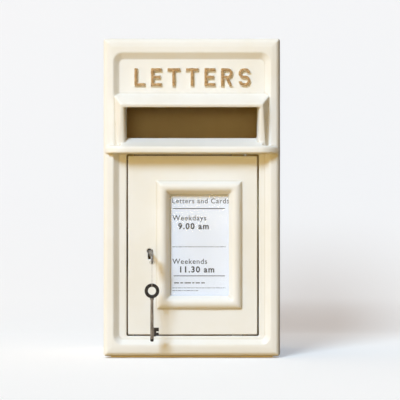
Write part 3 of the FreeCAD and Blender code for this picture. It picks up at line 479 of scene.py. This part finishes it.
# (name, start from the left, end from the left or None for the right, drop from the top, height)
SMALL_PRINT = [
    ("print_small_1", 0.0, None, 94.5, 2.6),
    ("print_small_2", 3.0, 58.0, 159.5, 4.6),
    ("print_small_3", 0.0, None, 168.0, 2.4),
    ("print_small_4", 0.0, 46.0, 173.0, 2.4),
]
SMALL_OVER = 1.0 * MM                   # of the small print past the rules' right end
RULE_STEPS = 5                          # straight pieces in a rule's rounded end
WORD_LENGTHS = (3.4, 2.1, 4.6, 1.5, 3.0, 5.2, 2.4, 1.8, 4.0, 2.8)
WORD_STRETCH = 0.55                     # lengths, thickness and gaps as shares of the line's height
WORD_THICK = 0.42
WORD_GAP = 0.5
SHORTEST_WORD = 1.0 * MM


def print_piece(name, mesh):
    """Ink on the card, which rides with the door."""
    piece = add_object(name, mesh, "door")
    paint(piece, MATERIALS["ink"])


def text_piece(name, words, size, x, z, bold):
    """One printed line as flat letters on the card, starting at x with its base at z.

    Size and boldness are in millimetres. The line is drawn a thousand times as large and then
    scaled down, so that the small counters fill well.
    """
    curve = bpy.data.curves.new(name, "FONT")
    curve.body = words
    curve.size = size
    curve.offset = bold
    curve.space_character = 1.08 + 0.22 * bold
    curve.resolution_u = 4
    text = bpy.data.objects.new(name + "_line", curve)
    bpy.context.scene.collection.objects.link(text)
    bpy.context.view_layer.update()
    mesh = bpy.data.meshes.new_from_object(text.evaluated_get(bpy.context.evaluated_depsgraph_get()))
    bpy.data.objects.remove(text)
    upright = Matrix.Rotation(math.radians(90), 4, "X")
    mesh.transform(Matrix.Translation((x, PRINT_Y, z)) @ upright @ Matrix.Scale(MM, 4))
    mesh.name = name
    print_piece(name, mesh)


def rule_piece(name, x0, x1, z, thick):
    """Printed rule with rounded ends."""
    bm = bmesh.new()
    half = thick / 2
    corners = []
    for cx, first in ((x1 - half, -90), (x0 + half, 90)):
        for k in range(RULE_STEPS + 1):
            angle = math.radians(first + 180 * k / RULE_STEPS)
            corners.append(bm.verts.new((cx + half * math.cos(angle), PRINT_Y, z + half * math.sin(angle))))
    bm.faces.new(corners)
    print_piece(name, mesh_of(bm, name))


def small_print(name, x0, x1, z, height):
    """A line of print too small to read: short dashes like words."""
    bm = bmesh.new()
    top = z + WORD_THICK * height
    x = x0
    word = 0
    while x < x1 - SHORTEST_WORD:
        end = min(x + WORD_STRETCH * WORD_LENGTHS[word % len(WORD_LENGTHS)] * height, x1)
        corners = [(x, z), (end, z), (end, top), (x, top)]
        bm.faces.new([bm.verts.new((cx, PRINT_Y, cz)) for cx, cz in corners])
        x = end + WORD_GAP * height
        word += 1
    print_piece(name, mesh_of(bm, name))


def print_card():
    """A plain table of times: headings, large figures, rules and small print."""
    for name, words, size, start, drop, bold in LINES:
        text_piece(name, words, size, LEFT_X + start * MM, TOP_Z - drop * MM, bold)
    for name, start, drop, thick in RULES:
        rule_piece(name, LEFT_X + start * MM, RIGHT_X, TOP_Z - drop * MM, thick * MM)
    for name, start, stop, drop, height in SMALL_PRINT:
        end = RIGHT_X + SMALL_OVER if stop is None else LEFT_X + stop * MM
        small_print(name, LEFT_X + start * MM, end, TOP_Z - drop * MM, height * MM)


print_card()


# ---- key tie: twisted wire -------------------------------------------------------------------

STRAND_R = 0.26 * MM
STRAND_TURNS = 9
STRAND_STEPS = 150
STRAND_SIDES = 8
EYE_R = 3.9 * MM
EYE_WIRE_R = 1.6 * STRAND_R
EYE_STEPS = 40
EYE_LEAN = Vector((0.12, -0.99, 0.0)).normalized()      # way the lock key's bow faces


def circle(steps):
    """Angles evenly round a circle."""
    return [2 * math.pi * k / steps for k in range(steps)]


def tube(name, points, radius, closed=False):
    """Round tube along points, with a steady section."""
    bm = bmesh.new()
    rings = []
    count = len(points)
    side = None
    for k, point in enumerate(points):
        ahead = points[(k + 1) % count] if closed or k + 1 < count else point
        behind = points[k - 1] if closed or k else point
        along = (ahead - behind).normalized()
        if side is None:
            side = along.orthogonal().normalized()
        side = (side - along * side.dot(along)).normalized()
        up = along.cross(side)
        rings.append([bm.verts.new(point + radius * (math.cos(a) * side + math.sin(a) * up))
                      for a in circle(STRAND_SIDES)])
    for k in range(count if closed else count - 1):
        near, far = rings[k], rings[(k + 1) % count]
        for j in range(STRAND_SIDES):
            step = (j + 1) % STRAND_SIDES
            bm.faces.new((near[j], near[step], far[step], far[j]))
    if not closed:
        bm.faces.new(list(reversed(rings[0])))
        bm.faces.new(rings[-1])
    bmesh.ops.recalc_face_normals(bm, faces=bm.faces)
    return mesh_of(bm, name)


def strand(top, bottom, phase):
    """One of the twisted strands between the two eyes."""
    start = top.z - EYE_R
    end = bottom.z + EYE_R
    points = []
    for k in range(STRAND_STEPS + 1):
        t = k / STRAND_STEPS
        angle = phase + 2 * math.pi * STRAND_TURNS * t
        swing = Vector((math.cos(angle), math.sin(angle), 0.0)) * STRAND_R
        points.append(Vector((top.x, top.y, start + (end - start) * t)) + swing)
    return tube("strand", points, STRAND_R)


def eye(centre, across):
    """Ring of wire round a bow, in the plane of UP and another direction."""
    ring = [centre + EYE_R * (math.cos(a) * UP + math.sin(a) * across) for a in circle(EYE_STEPS)]
    return tube("eye", ring, EYE_WIRE_R, closed=True)


def key_tie():
    """Two strands that are twisted together, with an eye round each bow."""
    joints = {j["name"]: Vector(j["pos_m"]) for j in frame["joints"] if "pos_m" in j}
    top, bottom = joints["tie_swing"], joints["spare_swing"]
    bm = bmesh.new()
    for mesh in (strand(top, bottom, 0.0), strand(top, bottom, math.pi),
                 eye(top, EYE_LEAN.cross(UP)), eye(bottom, BACK)):
        bm.from_mesh(mesh)
    piece = add_object("tie_wire", mesh_of(bm, "tie_wire"), "tie")
    paint(piece, MATERIALS["pale_wire"])
    shade_smooth(piece)
    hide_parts("key_tie")


key_tie()


# ---- setting: sweep, lights, camera ----------------------------------------------------------

WALL_Y = 0.60
WALL_HEIGHT = 3.5
SWEEP_R = 0.32
SWEEP_STEPS = 24
SWEEP_REACH = 12.0
FLOOR_Z = BASE_Z - 0.7 * MM             # the box stands on the high spots of the paper
CONTACT = 0.03                          # reach of the soft dark at the box's foot
PAPER_TONE = (0.937, 0.935, 0.93)       # of the paper where nothing shades it
PAPER_WALL = (0.40, 0.34, 0.277)
PAPER_FLOOR = (0.75, 0.66, 0.55)
LIT_WALL = (1.107, 1.066, 0.943)        # light that falls on the wall
LIT_FLOOR = (0.926, 0.906, 0.863)
LIT_CURVE = (0.56, 0.676, 0.80)         # the extra on the curve between them

# Lamps: direction of travel, strength, spread in degrees, tint
KEY_LIGHT = ((0.50, 1.0, -0.79), 2.50, 21, (0.745, 1.03, 1.40))
FILL_LIGHT = ((0.03, 1.0, 0.04), 0.44, 12, (1.0, 0.79, 0.42))
SURROUND_TINT = (1.08, 0.71, 0.18)
REAR_TINT = (1.15, 1.05, 0.90)          # of the surround behind the box, which lights its back
SURROUND_LEAN = (-0.40, -0.06, 0.05)    # brighter this way
SURROUND_LEVEL = 0.465
SURROUND_LEAST = 0.03

CAMERA_AWAY = 2.70                      # from the front plane
CAMERA_SEES = 0.712                     # width of the front plane that fills the picture
CAMERA_X = 0.0146
CAMERA_Z = -0.0038
FRONT_PLANE_Y = GROUND_Y - 0.009        # crest of the border
FILM_WIDTH = 36.0


def sweep_material():
    """White paper, one tone where it is open: it glows by as much as the light falling on it falls short."""
    n = Paint("paper")
    x, y, z = n.axes(n.geometry("Normal"))
    paper = n.mix(n.span(z, 0.80, 0.99), PAPER_WALL, PAPER_FLOOR)
    curved = n.mix(n.span(n.math("SUBTRACT", z, y), 1.0, 2.0), BLACK, LIT_CURVE)
    lit = n.mix(1.0, n.mix(n.span(z, 0.0, 1.0), LIT_WALL, LIT_FLOOR), curved, "ADD")
    near = n.add("ShaderNodeAmbientOcclusion", samples=8)
    near.inputs["Distance"].default_value = CONTACT
    n.drive("Base Color", paper)
    n.drive("Emission Color", n.mix(1.0, PAPER_TONE, n.mix(1.0, paper, lit, "MULTIPLY"), "SUBTRACT"))
    n.drive("Emission Strength", n.span(near.outputs["AO"], 0.30, 0.52, 0.02, 1.0))
    n.set(Roughness=1.0, Specular_IOR_Level=0.0)
    one_sided = n.add("ShaderNodeMixShader")       # clear from behind, so that the box's back can be seen
    n.link(n.geometry("Backfacing"), one_sided.inputs["Fac"])
    n.link(n.shader.outputs["BSDF"], one_sided.inputs[1])
    n.link(n.add("ShaderNodeBsdfTransparent").outputs["BSDF"], one_sided.inputs[2])
    n.link(one_sided.outputs["Shader"], n.tree.nodes["Material Output"].inputs["Surface"])
    return n.material


def sweep():
    """Floor that curves up into a wall behind the box."""
    profile = [(-SWEEP_REACH, FLOOR_Z)]
    for k in range(SWEEP_STEPS + 1):
        angle = math.radians(90 * k / SWEEP_STEPS)
        profile.append((WALL_Y - SWEEP_R + SWEEP_R * math.sin(angle),
                        FLOOR_Z + SWEEP_R * (1 - math.cos(angle))))
    profile.append((WALL_Y, FLOOR_Z + WALL_HEIGHT))
    bm = bmesh.new()
    left, right = [[bm.verts.new((x, y, z)) for y, z in profile] for x in (-SWEEP_REACH, SWEEP_REACH)]
    for k in range(len(profile) - 1):
        bm.faces.new((left[k], right[k], right[k + 1], left[k + 1]))
    piece = add_object("sweep", mesh_of(bm, "sweep"))
    shade_smooth(piece)
    paint(piece, sweep_material())
    piece.visible_diffuse = False       # its light on the box comes from the surround instead


def sun(name, travel, energy, spread, tint):
    """Distant lamp whose light travels along a direction."""
    data = bpy.data.lights.new(name, "SUN")
    data.energy = energy
    data.angle = math.radians(spread)
    data.color = tint
    lamp = add_object(name, data)
    lamp.rotation_euler = Vector(travel).to_track_quat("-Z", "Y").to_euler()


def surround():
    """Warm surround that is bright on the left and dim on the right, and neutral behind the box."""
    world = bpy.data.worlds.new("surround")
    world.use_nodes = True
    n = Nodes(world.node_tree)
    background = n.tree.nodes["Background"]
    heading = n.add("ShaderNodeTexCoord").outputs["Generated"]
    lean = n.add("ShaderNodeVectorMath", operation="DOT_PRODUCT")
    lean.inputs[1].default_value = SURROUND_LEAN
    n.link(heading, lean.inputs[0])
    level = n.math("ADD", lean.outputs["Value"], SURROUND_LEVEL)
    n.link(n.math("MAXIMUM", level, SURROUND_LEAST), background.inputs["Strength"])
    rear = n.span(n.axes(heading)[1], 0.05, 0.35)
    n.link(n.mix(rear, SURROUND_TINT, REAR_TINT), background.inputs["Color"])
    return world


def lights():
    """A soft key from the upper left front, a weak warm fill along the view and a pale surround."""
    sun("key_light", *KEY_LIGHT)
    sun("fill_light", *FILL_LIGHT)
    bpy.context.scene.world = surround()


def camera():
    """Level view of the front from nearly three metres."""
    data = bpy.data.cameras.new("camera")
    data.sensor_width = FILM_WIDTH
    data.lens = FILM_WIDTH * CAMERA_AWAY / CAMERA_SEES
    data.clip_end = 20.0
    cam = add_object("camera", data)
    cam.location = (CAMERA_X, FRONT_PLANE_Y - CAMERA_AWAY, CAMERA_Z)
    cam.rotation_euler = (math.radians(90), 0, 0)
    bpy.context.scene.camera = cam


sweep()
lights()
camera()
bpy.context.scene.view_settings.view_transform = "Standard"
